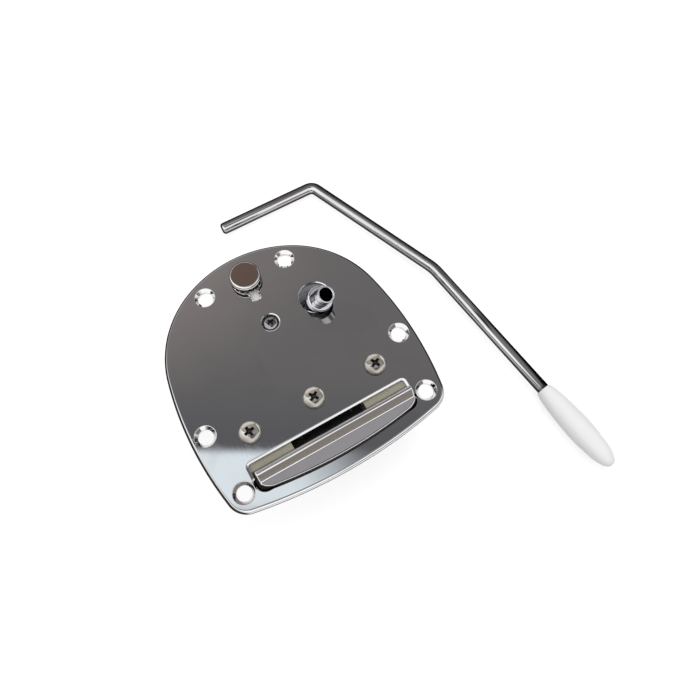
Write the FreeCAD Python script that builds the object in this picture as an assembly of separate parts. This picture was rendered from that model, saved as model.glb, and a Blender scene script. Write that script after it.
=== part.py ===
import FreeCAD, Part
import math
import os

os.makedirs("parts", exist_ok=True)
Vector = FreeCAD.Vector
up = Vector(0, 0, 1)

# Millimetres. +X is the treble side, +Y the rear and +Z up. The origin is on the rim's seat at
# the front centre, and z = 0 is the guitar's top.

# Clearances
running_clearance = 0.05    # radial, around a shaft or thread that turns or slides
bolt_clearance = 0.15       # radial, around a fixed bolt
sliding_gap = 0.1           # each side of the lock's neck in its slot
free_gap = 0.35             # between parts that pass each other
touch = 0.01                # how near a face counts as on it

# Top plate: stamped sheet with a turned-down rim, its outline a chain of tangent arcs
plate_height = 3.0
sheet = 1.8
edge_radius = 1.5
front_edge_y = -1.5
front_radius = 227.0
front_turn = 11.0
corner_radius = 9.0
corner_turn = 67.8
side_radius = 154.0
side_turn = 22.2
shoulder_radius = 48.0
shoulder_turn = 51.0

# Dished holes for six wood screws, in pairs: half spacing and place
front_holes_half = 42.9
front_holes_y = 11.25
side_holes_half = 46.55
side_holes_y = 39.4
rear_holes_half = 20.0
rear_holes_in = 12.15       # from the rear edge
mount_hole_radius = 3.2
countersink_radius = 4.6
dish_wall = 1.1

# String slot in the top plate
slot_half = 36.8
slot_front = 8.0
slot_rear = 20.3
slot_front_corner = 3.4
slot_rear_corner = 1.2
hole_edge = 0.6

# Fulcrum plate under the top plate, with a seat for the lip's knife edge on its two ears
fulcrum_thickness = 2.0
fulcrum_half = 37.0
fulcrum_front = 6.6
fulcrum_rear = 38.6
fulcrum_corner = 3.0
window_half = 17.2
window_rear = 24.0

# Knife-edge pivot, its axis along X
pivot_y = 14.6
pivot_rise = 0.1            # axis above the fulcrum plate
pivot_range = 5.5           # degrees, from the rest stop to a full dive

# Three pan-head bolts that carry the fulcrum plate
pivot_bolt_pitch = 29.9
pivot_bolt_y = 31.8
bolt_radius = 2.5
bolt_head_radius = 4.8
bolt_head_height = 2.7
bolt_nut_flats = 8.0
bolt_nut_height = 2.4
bolt_washer_radius = 4.6
bolt_washer_height = 0.8
bolt_end = 0.8              # thread showing past the nut
hex_bevel = 0.06            # of a nut's corner reach

# Shares of a pan head's radius or height, and of its shank's radius
recess_half_width = 0.13
recess_half_length = 0.56
recess_depth = 0.55
head_side = 0.35
head_base = 0.97
shank_bevel = 0.3

# String lip: bent sheet, from the knife edge over a ridge to a front apron
lip_sheet = 1.8
lip_half = 35.1
lip_shift = 1.2             # lip centre, towards the treble side
ridge_back = (0.2, 6.5)     # y and z of each fold's corner from the pivot
ridge_front = (-1.9, 7.3)
crease = (-4.1, 4.6)
apron_front_y = 4.65
apron_radius = 230.0
apron_flat_half = 25.0
apron_end_radius = 23.0
apron_corner = 1.2
fold_radius = 1.5
string_count = 6
string_pitch = 10.4
string_hole_radius = 0.8
string_hole_rise = 6.3      # above the pivot
neck_bend = 2.4
foot_rear = 28.0

# Lever plate, riveted under the lip's foot
lever_top = -8.0
lever_sheet = 2.0
lever_front = 17.5
lever_front_half = 24.0
lever_waist = 31.0
lever_spread = 49.0
lever_left = -19.5
lever_right = 31.0
lever_corner = 5.0
rivet_y = 22.5
rivet_pitch = 10.5
rivet_radius = 1.5
rivet_head_radius = 2.5
rivet_head_height = 1.1
rivet_head_flat = 0.6       # of the head's radius

# Tension screw, its bush on the lever, the coil spring and the spring nut
tension_in = 37.15          # from the rear edge
tension_radius = 2.0
tension_head_radius = 3.4
tension_head_height = 2.4
tension_head_base = 0.8
tension_hole_radius = 3.9
tension_end = -31.5
bush_radius = 3.2
spring_wire = 1.5
spring_mean_radius = 6.3
spring_turns = 3.5
spring_length = 13.2
seat_height = 0.8
nut_flange_radius = 8.4
nut_flange_height = 1.8
nut_flats = 8.0
nut_hex_height = 2.4

# Spring cradle: a strap welded under the top plate, its legs through windows in the lever
cradle_sheet = 2.0
cradle_half = 10.5
cradle_width = 9.0
cradle_foot = 4.5
cradle_under_lever = 0.6
cradle_bend = 1.2
window_side_gap = 0.8

# Arm socket on the lever, leaning forward and to the treble side
socket_x = 22.2             # where its axis meets the top face of the plate
socket_in = 38.45           # from the rear edge
socket_lean_treble = 15.0
socket_lean_front = 19.5
socket_hole_x = 22.9
socket_hole_in = 36.05
socket_hole_radius = 7.25
socket_radius = 3.85
socket_top = 13.1           # along the axis, from the plate's top face
socket_bottom = -22.0
socket_floor = 2.0
socket_mouth = 0.5
collar_radius = 5.9
collar_height = 3.4
collar_edge = 0.8
socket_seat_radius = 6.0
socket_seat_height = 1.0
wedge_depth = 3.4
socket_washer_radius = 6.2
socket_washer_height = 0.8
socket_nut_flats = 11.0
socket_nut_height = 3.4

# Lock: a knob, a neck in a slot, and a hooked plate that slides under the lever
lock_in = 13.35             # knob centre from the rear edge
lock_travel = 7.0
knob_radius = 6.9
knob_top = 8.4
knob_edge = 0.9
knob_flutes = 18
flute_radius = 0.75
flute_depth = 0.45
lock_washer_radius = 5.6
lock_washer_height = 0.5
lock_neck_radius = 1.9
lock_plate_half = 9.0
lock_plate_behind = 8.1     # from the knob centre
lock_plate_sheet = 1.6
hook_ahead = 5.0
tongue_ahead = 11.5
lock_plate_bend = 1.04
lock_slot_corner = 1.6
lock_slot_spare = 2.1       # slot left over ahead of the neck
lock_cover_half = 4.5
lock_cover_over = 1.0       # of the cover past the slot's front end
lock_screw_radius = 1.25
lock_head_radius = 3.0
lock_head_height = 1.8
lock_screw_reach = 3.0      # into the knob
lock_screw_slot = 0.8
lock_screw_slot_depth = 0.9

# Bent arm and its tip, lying beside the bridge
arm_radius = 3.0
arm_end_x = 5.4
arm_y = 145.4
arm_short = 54.4
arm_middle = 80.9
arm_long = 81.4             # to the start of the tip
arm_first_turn = 68.2
arm_second_turn = 15.0
arm_first_bend = 4.6
arm_second_bend = 24.0
arm_end_round = 1.6
arm_in_tip = 24.0
tip_length = 45.0
tip_start_radius = 3.6
tip_shoulder_radius = 5.2
tip_shoulder_at = 8.5
tip_belly_radius = 6.0
tip_belly_at = 24.0
tip_nose_radius = 4.7
tip_nose_at = 38.5

# Rear edge of the plate, from its chain of arcs
plate_arcs = [(front_radius, front_turn), (corner_radius, corner_turn),
              (side_radius, side_turn), (shoulder_radius, shoulder_turn)]
shoulder_x, shoulder_y, heading = 0.0, front_edge_y, 0.0
for radius, turn in plate_arcs:
    ahead = heading + math.radians(turn)
    shoulder_x += radius * (math.sin(ahead) - math.sin(heading))
    shoulder_y += radius * (math.cos(heading) - math.cos(ahead))
    heading = ahead
rear_radius = shoulder_x / math.sin(heading)
plate_rear = shoulder_y + rear_radius * (1 + math.cos(heading))

# Heights and places that follow from the sizes above
tension_y = plate_rear - tension_in
socket_y = plate_rear - socket_in
socket_hole_y = plate_rear - socket_hole_in
lock_y = plate_rear - lock_in
lock_plate_rear = lock_y + lock_plate_behind
hook_front = lock_y - hook_ahead
tongue_front = lock_y - tongue_ahead
sheet_under = plate_height - sheet
fulcrum_top = sheet_under
fulcrum_under = fulcrum_top - fulcrum_thickness
pivot_z = fulcrum_top + pivot_rise
nose_radius = lip_sheet / 2
neck_half = window_half - free_gap
dive = math.sin(math.radians(pivot_range))
apron_edge_z = plate_height + free_gap + (pivot_y - apron_front_y) * dive + lip_sheet / 2
lever_under = lever_top - lever_sheet
lever_swing = (pivot_z - lever_under) * dive
lever_rear = hook_front - lock_travel - free_gap - lever_swing
strap_top = lever_under - cradle_under_lever
strap_under = strap_top - cradle_sheet
seat_under = strap_under - seat_height
screw_lift = (tension_y - pivot_y) * dive
cradle_hole_radius = tension_radius + (pivot_z - seat_under + screw_lift) * dive + free_gap
flange_top = seat_under - spring_length
lock_plate_top = sheet_under - free_gap
lock_plate_under = lock_plate_top - lock_plate_sheet
lock_slot_front = lock_y - lock_travel - lock_neck_radius - free_gap - lock_slot_spare
hook_top = lever_under - free_gap
floor_z = tension_end
pivot_bolt_places = [(side * pivot_bolt_pitch, pivot_bolt_y) for side in (-1, 0, 1)]
mount_pairs = [(front_holes_half, front_holes_y), (side_holes_half, side_holes_y),
               (rear_holes_half, plate_rear - rear_holes_in)]
mount_places = [(side * x, y) for x, y in mount_pairs for side in (-1, 1)]


def save(name, *solids):
    shape = solids[0] if len(solids) == 1 else Part.makeCompound(list(solids))
    shape.exportStep("parts/" + name + ".step")
    print(name, "solids", len(shape.Solids), "valid", shape.isValid(), "volume", round(shape.Volume, 1))


def disc(radius, bottom, top, x=0.0, y=0.0):
    return Part.makeCylinder(radius, top - bottom, Vector(x, y, bottom), up)


def ring(outer, inner, bottom, top, x=0.0, y=0.0):
    return disc(outer, bottom, top, x, y).cut(disc(inner, bottom, top, x, y))


def block(x0, x1, y0, y1, z0, z1):
    return Part.makeBox(x1 - x0, y1 - y0, z1 - z0, Vector(x0, y0, z0))


def revolve(points, x=0.0, y=0.0):
    corners = [Vector(radius, 0, z) for radius, z in points]
    face = Part.Face(Part.makePolygon(corners + corners[:1]))
    turned = face.revolve(Vector(0, 0, 0), up, 360)
    turned.translate(Vector(x, y, 0))
    return turned


def hexagon(flats, bottom, top, x=0.0, y=0.0):
    reach = flats / math.sqrt(3)
    corners = [Vector(x + reach * math.cos(math.radians(60 * i)),
                      y + reach * math.sin(math.radians(60 * i)), bottom) for i in range(7)]
    prism = Part.Face(Part.makePolygon(corners)).extrude(up * (top - bottom))
    bevel = reach * hex_bevel
    rounding = revolve([(0, bottom), (reach - bevel, bottom), (reach, bottom + bevel),
                        (reach, top - bevel), (reach - bevel, top), (0, top)], x, y)
    return prism.common(rounding)


# Edges of straight runs through the points, each inner corner rounded to its radius.
def rounded_path(points, radii, closed=False):
    count = len(points)
    corners = range(count) if closed else range(1, count - 1)
    cuts = {}
    for i in corners:
        back = (points[i - 1] - points[i]).normalize()
        ahead = (points[(i + 1) % count] - points[i]).normalize()
        half = back.getAngle(ahead) / 2
        radius = radii[i % len(radii)]
        reach = radius / math.tan(half)
        middle = (back + ahead).normalize() * (radius / math.sin(half) - radius)
        cuts[i] = (points[i] + back * reach, points[i] + middle, points[i] + ahead * reach)
    edges = []
    for i in range(count if closed else count - 1):
        following = (i + 1) % count
        start = cuts[i][2] if i in cuts else points[i]
        end = cuts[following][0] if following in cuts else points[following]
        edges.append(Part.LineSegment(start, end).toShape())
        if following in cuts:
            edges.append(Part.Arc(*cuts[following]).toShape())
    return edges


def slab(points, radii, bottom, top):
    corners = [Vector(x, y, bottom) for x, y in points]
    outline = Part.Wire(rounded_path(corners, radii, closed=True))
    return Part.Face(outline).extrude(up * (top - bottom))


# Sheet bent along a path in the YZ plane, with round ends, between two X places.
def bent_strip(points, radii, thickness, x0, x1):
    path = Part.Wire(rounded_path([Vector(x0, y, z) for y, z in points], radii))
    section = Part.Face(path.makeOffset2D(thickness / 2, 0, False, False))
    return section.extrude(Vector(x1 - x0, 0, 0))


# Right half as arcs from the front centre to the rear, then its mirror image.
def plate_outline(z):
    point = Vector(0, front_edge_y, z)
    facing = 0.0
    right = []
    for radius, turn in plate_arcs:
        centre = point + Vector(-math.sin(facing), math.cos(facing), 0) * radius
        stops = [facing + math.radians(turn) * part for part in (0.5, 1.0)]
        middle, end = [centre + Vector(math.sin(t), -math.cos(t), 0) * radius for t in stops]
        right.append((point, middle, end))
        point, facing = end, stops[1]
    edges = [Part.Arc(*three).toShape() for three in right]
    edges.append(Part.Arc(point, Vector(0, plate_rear, z), Vector(-point.x, point.y, z)).toShape())
    for three in reversed(right):
        mirrored = [Vector(-p.x, p.y, z) for p in reversed(three)]
        edges.append(Part.Arc(*mirrored).toShape())
    return Part.Wire(edges)


def soften(solid, radius, wanted):
    edges = [edge for edge in solid.Edges if wanted(edge.BoundBox)]
    return solid.makeFillet(radius, edges)


def top_plate():
    outer = Part.Face(plate_outline(0)).extrude(up * plate_height)
    outer = soften(outer, edge_radius, lambda box: box.ZMin > plate_height - touch)
    inner = Part.Face(plate_outline(0).makeOffset2D(-sheet)).extrude(up * sheet_under)
    plate = outer.cut(inner)
    dish_radius = countersink_radius + dish_wall
    for x, y in mount_places:
        dish = disc(dish_radius, 0, sheet_under, x, y)
        plate = plate.fuse(dish.common(outer))
    plate = plate.removeSplitter()
    cutters = [slab([(-slot_half, slot_front), (slot_half, slot_front),
                     (slot_half, slot_rear), (-slot_half, slot_rear)],
                    [slot_front_corner, slot_front_corner, slot_rear_corner, slot_rear_corner],
                    0, plate_height)]
    cutters.append(disc(socket_hole_radius, 0, plate_height, socket_hole_x, socket_hole_y))
    cutters.append(disc(tension_hole_radius, 0, plate_height, 0, tension_y))
    slot_side = lock_neck_radius + sliding_gap
    lock_slot_rear = lock_y + lock_neck_radius + free_gap
    cutters.append(slab([(-slot_side, lock_slot_front), (slot_side, lock_slot_front),
                         (slot_side, lock_slot_rear), (-slot_side, lock_slot_rear)],
                        [lock_slot_corner], 0, plate_height))
    for cutter in cutters:
        plate = plate.cut(cutter)
    def inside_edge(box):
        on_top = box.ZMin > plate_height - touch
        between = max(-box.XMin, box.XMax) < slot_half + touch
        inside = slot_front - touch < box.YMin and box.YMax < plate_rear - edge_radius - touch
        return on_top and between and inside
    plate = soften(plate, hole_edge, inside_edge)
    for x, y in pivot_bolt_places:
        plate = plate.cut(disc(bolt_radius + bolt_clearance, 0, plate_height, x, y))
    sink_depth = countersink_radius - mount_hole_radius
    for x, y in mount_places:
        plate = plate.cut(disc(mount_hole_radius, 0, plate_height, x, y))
        cone = Part.makeCone(mount_hole_radius, countersink_radius, sink_depth,
                             Vector(x, y, plate_height - sink_depth), up)
        plate = plate.cut(cone)
    return plate


def fulcrum_plate():
    plate = slab([(-fulcrum_half, fulcrum_front), (fulcrum_half, fulcrum_front),
                  (fulcrum_half, fulcrum_rear), (-fulcrum_half, fulcrum_rear)],
                 [fulcrum_corner], fulcrum_under, fulcrum_top)
    plate = plate.cut(block(-window_half, window_half, fulcrum_front - 1, window_rear,
                            fulcrum_under, fulcrum_top))
    groove = Part.makeCylinder(nose_radius + running_clearance, 2 * fulcrum_half,
                               Vector(-fulcrum_half, pivot_y, pivot_z), Vector(1, 0, 0))
    plate = plate.cut(groove)
    for x, y in pivot_bolt_places:
        plate = plate.cut(disc(bolt_radius + bolt_clearance, fulcrum_under, fulcrum_top, x, y))
    return plate


def cross_recess(radius, top, depth, x, y):
    half_width = radius * recess_half_width
    half_length = radius * recess_half_length
    floor = top - depth
    bar = block(x - half_length, x + half_length, y - half_width, y + half_width, floor, top)
    return bar.fuse(block(x - half_width, x + half_width, y - half_length, y + half_length, floor, top))


def pan_head_screw(shank, end, head_radius, base, head_height, x, y):
    top = base + head_height
    side = base + head_height * head_side
    dome = [(head_radius * math.cos(math.radians(a)), side + (top - side) * math.sin(math.radians(a)))
            for a in (0, 18, 36, 54, 72)]
    screw = revolve([(0, end), (shank * (1 - shank_bevel), end), (shank, end + shank * shank_bevel),
                     (shank, base), (head_radius * head_base, base)] + dome + [(0, top)], x, y)
    return screw.cut(cross_recess(head_radius, top, head_height * recess_depth, x, y))


def pivot_hardware():
    washer_under = fulcrum_under - bolt_washer_height
    nut_under = washer_under - bolt_nut_height
    screws, washers, nuts = [], [], []
    for x, y in pivot_bolt_places:
        screws.append(pan_head_screw(bolt_radius, nut_under - bolt_end, bolt_head_radius,
                                     plate_height, bolt_head_height, x, y))
        washers.append(ring(bolt_washer_radius, bolt_radius + bolt_clearance,
                            washer_under, fulcrum_under, x, y))
        nut = hexagon(bolt_nut_flats, nut_under, washer_under, x, y)
        nuts.append(nut.cut(disc(bolt_radius + running_clearance, nut_under, washer_under, x, y)))
    save("pivot_screws", *screws)
    save("pivot_washers", *washers)
    save("pivot_nuts", *nuts)


# Outline of the lip seen from above: straight ends and a front edge of three tangent arcs.
def lip_plan():
    rear_y = pivot_y + 3 * lip_sheet
    bottom = pivot_z - 2 * lip_sheet
    turn = math.asin(apron_flat_half / apron_radius)
    bend_y = apron_front_y + apron_radius * (1 - math.cos(turn))
    end_centre_x = apron_flat_half - apron_end_radius * math.sin(turn)
    end_centre_y = bend_y + apron_end_radius * math.cos(turn)
    end_turn = math.asin((lip_half - end_centre_x) / apron_end_radius)

    def end_arc(side, share):
        angle = turn + (end_turn - turn) * share
        return Vector(lip_shift + side * (end_centre_x + apron_end_radius * math.sin(angle)),
                      end_centre_y - apron_end_radius * math.cos(angle), bottom)

    left = [end_arc(-1, share) for share in (1, 0.5, 0)]
    right = [end_arc(1, share) for share in (0, 0.5, 1)]
    middle = Vector(lip_shift, apron_front_y, bottom)
    edges = [Part.Arc(*three).toShape() for three in (left, (left[2], middle, right[0]), right)]
    rear = [Vector(right[2].x, rear_y, bottom), Vector(left[0].x, rear_y, bottom)]
    ends = [right[2], *rear, left[0]]
    edges += [Part.LineSegment(a, b).toShape() for a, b in zip(ends, ends[1:])]
    plan = Part.Face(Part.Wire(edges)).extrude(up * 8 * lip_sheet)
    front_corner = right[2].y + touch
    return soften(plan, apron_corner, lambda box: (box.ZLength > lip_sheet and box.YMax < front_corner
                                                   and box.XLength < touch))


def string_lip():
    left, right = lip_shift - lip_half, lip_shift + lip_half
    folds = [(pivot_y + y, pivot_z + z) for y, z in (ridge_back, ridge_front, crease)]
    path = [(pivot_y, pivot_z)] + folds + [(apron_front_y - lip_sheet, apron_edge_z)]
    lip = bent_strip(path, [fold_radius], lip_sheet, left, right).common(lip_plan())
    foot_z = lever_top + lip_sheet / 2
    neck_path = [(pivot_y, pivot_z + lip_sheet), (pivot_y, foot_z), (foot_rear, foot_z)]
    lip = lip.fuse(bent_strip(neck_path, [neck_bend], lip_sheet, -neck_half, neck_half))
    for i in range(string_count):
        x = lip_shift + (i - (string_count - 1) / 2) * string_pitch
        lip = lip.cut(Part.makeCylinder(string_hole_radius, lip_sheet - crease[0],
                                        Vector(x, pivot_y + lip_sheet, pivot_z + string_hole_rise),
                                        Vector(0, -1, 0)))
    for side in (-1, 0, 1):
        lip = lip.cut(disc(rivet_radius, lever_top, lever_top + lip_sheet, side * rivet_pitch, rivet_y))
    return lip.removeSplitter()


def lip_rivets():
    under = lever_under
    over = lever_top + lip_sheet
    rivets = []
    for side in (-1, 0, 1):
        flat = rivet_head_radius * rivet_head_flat
        profile = [(0, under - rivet_head_height), (flat, under - rivet_head_height),
                   (rivet_head_radius, under), (rivet_radius, under), (rivet_radius, over),
                   (rivet_head_radius, over), (flat, over + rivet_head_height),
                   (0, over + rivet_head_height)]
        rivets.append(revolve(profile, side * rivet_pitch, rivet_y))
    return rivets


def socket_axis():
    lean = Vector(math.tan(math.radians(socket_lean_treble)),
                  -math.tan(math.radians(socket_lean_front)), 1)
    return lean.normalize()


def along_socket(distance):
    return Vector(socket_x, socket_y, plate_height) + socket_axis() * distance


def socket_cylinder(radius, start, end):
    return Part.makeCylinder(radius, end - start, along_socket(start), socket_axis())


def socket_at_height(z):
    return (z - plate_height) / socket_axis().z


def lever_plate():
    outline = [(-lever_front_half, lever_front), (lever_front_half, lever_front),
               (lever_front_half, lever_waist), (lever_right, lever_spread), (lever_right, lever_rear),
               (lever_left, lever_rear), (lever_left, lever_spread), (-lever_front_half, lever_waist)]
    lever = slab(outline, [lever_corner], lever_under, lever_top)
    middle = along_socket(socket_at_height((lever_top + lever_under) / 2))
    tilt = math.acos(socket_axis().z)
    tilted_reach = socket_radius / math.cos(tilt) + lever_sheet / 2 * math.tan(tilt) + bolt_clearance
    lever = lever.cut(disc(tilted_reach, lever_under, lever_top, middle.x, middle.y))
    lever = lever.cut(disc(tension_radius + running_clearance, lever_under, lever_top, 0, tension_y))
    for side in (-1, 0, 1):
        lever = lever.cut(disc(rivet_radius, lever_under, lever_top, side * rivet_pitch, rivet_y))
    leg_half = cradle_sheet / 2 + window_side_gap
    front = tension_y - cradle_width / 2 - lever_swing - free_gap
    rear = tension_y + cradle_width / 2 + 2 * free_gap
    for side in (-1, 1):
        x = side * (cradle_half - cradle_sheet / 2)
        lever = lever.cut(block(x - leg_half, x + leg_half, front, rear, lever_under, lever_top))
    return lever


def spring_cradle():
    outside = cradle_half
    middle = cradle_sheet / 2
    front = tension_y - cradle_width / 2
    foot_z = sheet_under - middle
    strap_z = strap_top - middle
    inner = outside - middle
    points = [Vector(x, front, z) for x, z in
              [(outside - cradle_foot, foot_z), (inner, foot_z), (inner, strap_z),
               (-inner, strap_z), (-inner, foot_z), (cradle_foot - outside, foot_z)]]
    path = Part.Wire(rounded_path(points, [cradle_bend]))
    section = Part.Face(path.makeOffset2D(middle, 0, False, False))
    strap = section.extrude(Vector(0, cradle_width, 0))
    return strap.cut(disc(cradle_hole_radius, strap_under, strap_top, 0, tension_y))


# Two arcs that meet smoothly between two points with given directions.
def biarc(start, start_way, end, end_way):
    span = end - start
    both = start_way + end_way
    bend = 2 * (1 - start_way.dot(end_way))
    along = span.dot(both)
    reach = (math.sqrt(along ** 2 + bend * span.dot(span)) - along) / bend
    joint = (start + end + (start_way - end_way) * reach) * 0.5
    return [arc_from(start, start_way, joint), arc_from(end, end_way * -1, joint)]


def arc_from(start, way, end):
    chord = end - start
    half_turn = way.getAngle(chord)
    side = (way - chord * (way.dot(chord) / chord.dot(chord))).normalize()
    middle = (start + end) * 0.5 + side * (chord.Length / 2 * math.tan(half_turn / 2))
    return Part.Arc(start, middle, end).toShape()


# Open coil of quarter-turn biarcs between the seat and the nut's flange.
def main_spring():
    top = seat_under - spring_wire / 2
    drop = spring_length - spring_wire
    quarters = int(round(spring_turns * 4))

    def place(turns):
        angle = 2 * math.pi * turns
        return Vector(spring_mean_radius * math.cos(angle), tension_y + spring_mean_radius * math.sin(angle),
                      top - drop * turns / spring_turns)

    def way(turns):
        angle = 2 * math.pi * turns
        return Vector(-spring_mean_radius * math.sin(angle), spring_mean_radius * math.cos(angle),
                      -drop / spring_turns / (2 * math.pi)).normalize()

    edges = []
    for i in range(quarters):
        edges += biarc(place(i / 4), way(i / 4), place((i + 1) / 4), way((i + 1) / 4))
    wire = Part.Wire(Part.__sortEdges__(edges))
    circle = Part.Wire(Part.Circle(place(0), way(0), spring_wire / 2).toShape())
    coil = wire.makePipeShell([circle], True, False)
    steps = [spring_turns * i / 400 for i in range(401)]
    least = min((place(a) - place(b)).Length for a in steps for b in steps if b - a > 0.5)
    print("spring least gap to itself", round(least - spring_wire, 2))
    return coil


def tension_group():
    save("tension_screw", pan_head_screw(tension_radius, tension_end, tension_head_radius,
                                         tension_head_base, tension_head_height, 0, tension_y))
    bore = tension_radius + running_clearance
    save("screw_bush", ring(bush_radius, bore, lever_top, tension_head_base, 0, tension_y))
    save("spring_seat", ring(spring_mean_radius + spring_wire, cradle_hole_radius,
                             seat_under, strap_under, 0, tension_y))
    save("main_spring", main_spring())
    flange_under = flange_top - nut_flange_height
    nut = disc(nut_flange_radius, flange_under, flange_top, 0, tension_y)
    nut = nut.fuse(hexagon(nut_flats, flange_under - nut_hex_height, flange_under, 0, tension_y))
    nut = nut.cut(disc(bore, flange_under - nut_hex_height, flange_top, 0, tension_y))
    save("spring_nut", nut.removeSplitter())


def socket_group():
    bore = arm_radius + running_clearance
    tube = socket_cylinder(socket_radius, socket_bottom, socket_top)
    tube = tube.cut(socket_cylinder(bore, socket_bottom + socket_floor, socket_top))
    tube = tube.cut(Part.makeCone(bore, bore + socket_mouth, socket_mouth,
                                  along_socket(socket_top - socket_mouth), socket_axis()))
    save("arm_socket", tube)
    sleeve_hole = socket_cylinder(socket_radius + running_clearance, socket_bottom, socket_top)
    lean = math.acos(socket_axis().z)
    collar_bottom = (free_gap + collar_radius * math.sin(lean)) / math.cos(lean)
    collar = socket_cylinder(collar_radius, collar_bottom, collar_bottom + collar_height)
    collar = collar.makeFillet(collar_edge, [edge for edge in collar.Edges if len(edge.Vertexes) == 1])
    save("socket_collar", collar.cut(sleeve_hole))
    middle = along_socket(socket_at_height(lever_top + socket_seat_height / 2))
    seat = disc(socket_seat_radius, lever_top, lever_top + socket_seat_height, middle.x, middle.y)
    save("socket_seat", seat.cut(sleeve_hole))
    big = 4 * collar_radius
    wedge_end = socket_at_height(lever_under) - wedge_depth
    wedge = socket_cylinder(collar_radius, wedge_end, socket_at_height(lever_under) + collar_radius)
    wedge = wedge.cut(block(middle.x - big, middle.x + big, middle.y - big, middle.y + big,
                            lever_under, lever_under + big))
    save("socket_wedge", wedge.cut(sleeve_hole))
    washer_end = wedge_end - socket_washer_height
    save("socket_washer", socket_cylinder(socket_washer_radius, washer_end, wedge_end).cut(sleeve_hole))
    nut = hexagon(socket_nut_flats, 0, socket_nut_height)
    nut.Placement = FreeCAD.Placement(along_socket(washer_end - socket_nut_height),
                                      FreeCAD.Rotation(up, socket_axis()))
    save("socket_nut", nut.cut(sleeve_hole))


def lock_group():
    washer_top = plate_height + lock_washer_height
    knob = revolve([(0, washer_top), (knob_radius - knob_edge, washer_top),
                    (knob_radius, washer_top + knob_edge), (knob_radius, knob_top - knob_edge),
                    (knob_radius - knob_edge, knob_top), (0, knob_top)], 0, lock_y)
    for i in range(knob_flutes):
        angle = 2 * math.pi * i / knob_flutes
        reach = knob_radius + flute_radius - flute_depth
        knob = knob.cut(disc(flute_radius, washer_top, knob_top - 2 * knob_edge,
                             reach * math.cos(angle), lock_y + reach * math.sin(angle)))
    thread = lock_screw_radius + running_clearance
    screw_top = washer_top + lock_screw_reach
    save("lock_button", knob.cut(disc(thread, washer_top, screw_top + free_gap, 0, lock_y)))
    save("lock_washer", ring(lock_washer_radius, lock_neck_radius + running_clearance,
                             plate_height, washer_top, 0, lock_y))
    save("lock_neck", ring(lock_neck_radius, thread, lock_plate_top, washer_top, 0, lock_y))
    hook_under = hook_top - lock_plate_sheet
    middle = lock_plate_sheet / 2
    points = [(lock_plate_rear - middle, lock_plate_top - middle),
              (hook_front + middle, lock_plate_top - middle),
              (hook_front + middle, hook_under + middle),
              (tongue_front + middle, hook_under + middle)]
    plate = bent_strip(points, [lock_plate_bend], lock_plate_sheet, -lock_plate_half, lock_plate_half)
    plate = plate.fuse(block(-lock_cover_half, lock_cover_half, lock_slot_front - lock_cover_over,
                             lock_y, lock_plate_under, lock_plate_top)).removeSplitter()
    save("lock_plate", plate.cut(disc(thread, lock_plate_under, lock_plate_top, 0, lock_y)))
    head_under = lock_plate_under - lock_head_height
    screw = disc(lock_screw_radius, lock_plate_under, screw_top, 0, lock_y)
    screw = screw.fuse(disc(lock_head_radius, head_under, lock_plate_under, 0, lock_y))
    screw = screw.cut(block(-lock_head_radius, lock_head_radius, lock_y - lock_screw_slot / 2,
                            lock_y + lock_screw_slot / 2, head_under, head_under + lock_screw_slot_depth))
    save("lock_screw", screw.removeSplitter())


# Half section of the tip along its own axis, from its start to its rounded end.
def arm_tip_profile():
    end = tip_length
    edges = [Part.LineSegment(Vector(0, 0, 0), Vector(tip_start_radius, 0, 0)).toShape()]
    side = Part.BSplineCurve()
    marks = [(tip_start_radius, 0), (tip_shoulder_radius, tip_shoulder_at),
             (tip_belly_radius, tip_belly_at), (tip_nose_radius, tip_nose_at), (0, end)]
    square, along = Vector(-1, 0, 0), up
    side.interpolate([Vector(radius, 0, z) for radius, z in marks],
                     Tangents=[along, along, along, along, square],
                     TangentFlags=[False, False, True, False, True])
    edges.append(side.toShape())
    edges.append(Part.LineSegment(Vector(0, 0, end), Vector(0, 0, 0)).toShape())
    return Part.Face(Part.Wire(edges))


def arm_group():
    rod_z = floor_z + arm_radius
    first = -math.radians(arm_first_turn)
    second = first - math.radians(arm_second_turn)
    start = Vector(arm_end_x, arm_y, rod_z)
    bend = start + Vector(arm_short, 0, 0)
    elbow = bend + Vector(math.cos(first), math.sin(first), 0) * arm_middle
    way = Vector(math.cos(second), math.sin(second), 0)
    tip_start = elbow + way * arm_long
    rod_edges = rounded_path([start, bend, elbow, tip_start + way * arm_in_tip],
                             [arm_first_bend, arm_first_bend, arm_second_bend])
    circle = Part.Wire(Part.Circle(start, Vector(1, 0, 0), arm_radius).toShape())
    rod = Part.Wire(rod_edges).makePipeShell([circle], True, False)
    rod = soften(rod, arm_end_round, lambda box: box.XMax < arm_end_x + touch)
    tip = arm_tip_profile().revolve(Vector(0, 0, 0), up, 360)
    tip = tip.cut(disc(arm_radius, 0, arm_in_tip))
    tip.Placement = FreeCAD.Placement(tip_start, FreeCAD.Rotation(up, way))
    belly = tip_start + way * tip_belly_at
    tilt = -math.degrees(math.asin((tip_belly_radius - arm_radius) / (arm_y - belly.y)))
    for piece in (rod, tip):
        piece.rotate(start, Vector(1, 0, 0), tilt)
    save("tremolo_arm", rod)
    save("arm_tip", tip)


save("top_plate", top_plate())
save("fulcrum_plate", fulcrum_plate())
pivot_hardware()
save("string_lip", string_lip())
save("lever_plate", lever_plate())
save("lip_rivets", *lip_rivets())
save("spring_cradle", spring_cradle())
tension_group()
socket_group()
lock_group()
arm_group()
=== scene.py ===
import bmesh
import bpy
from math import asin, cos, pi, radians, sin, sqrt, tan
from mathutils import Matrix, Vector
from mathutils.geometry import delaunay_2d_cdt


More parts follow.
